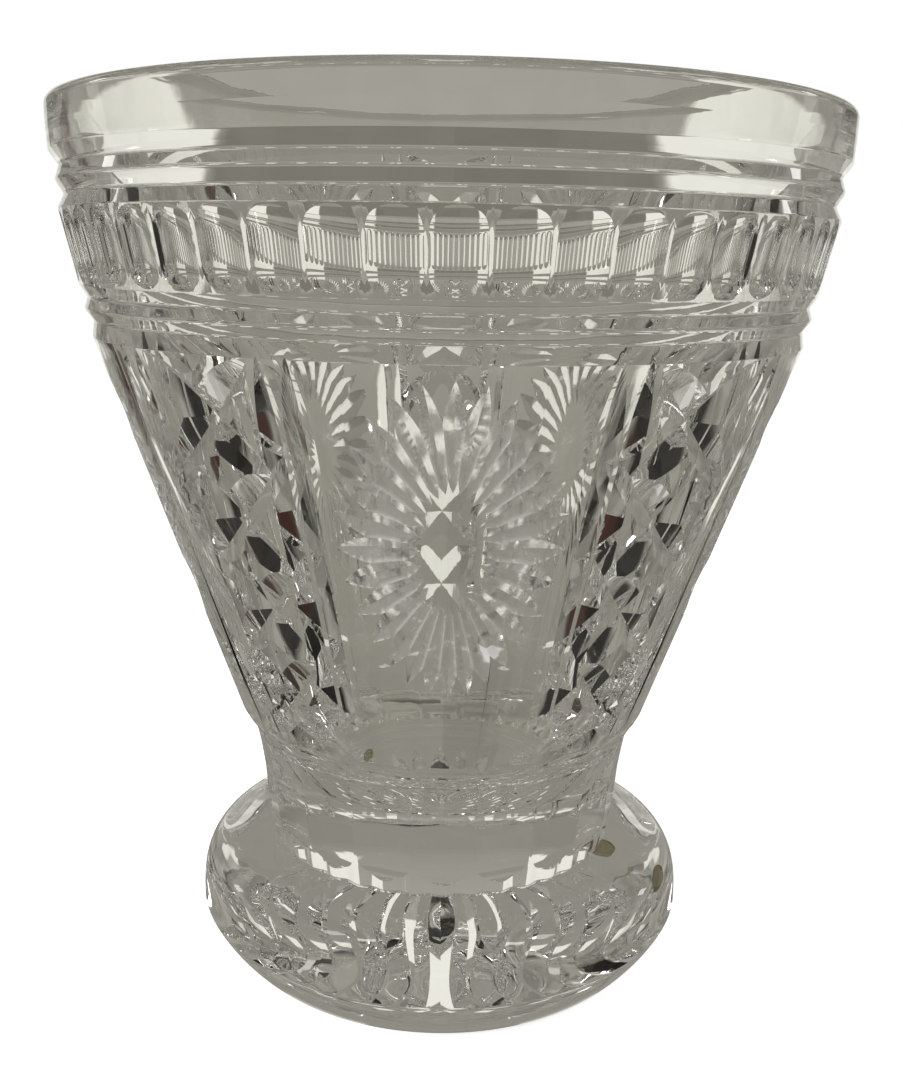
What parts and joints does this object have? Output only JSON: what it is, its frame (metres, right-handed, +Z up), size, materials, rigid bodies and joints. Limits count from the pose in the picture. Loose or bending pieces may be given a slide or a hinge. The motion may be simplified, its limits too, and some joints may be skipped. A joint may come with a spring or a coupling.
{
  "type": "cut crystal vase",
  "caption": "Flared cut crystal vase with a fluted band, framed sunburst panels and diamond columns, on a heavy bun foot with soft pads.",
  "frame": {"origin": "on the vase's axis, at the level of the pads' undersides", "axes": "+Z up along the vase's axis; -Y towards the front sunburst panel"},
  "size_m": [0.2234, 0.2232, 0.2562],
  "materials": {
    "crystal": "polished lead crystal, with lightly frosted petals",
    "pad": "yellowed translucent polyurethane, satin"
  },
  "bodies": {
    "root": {"bowl": "crystal", "foot": "crystal", "pad_1": "pad", "pad_2": "pad", "pad_3": "pad"}
  },
  "joints": []
}
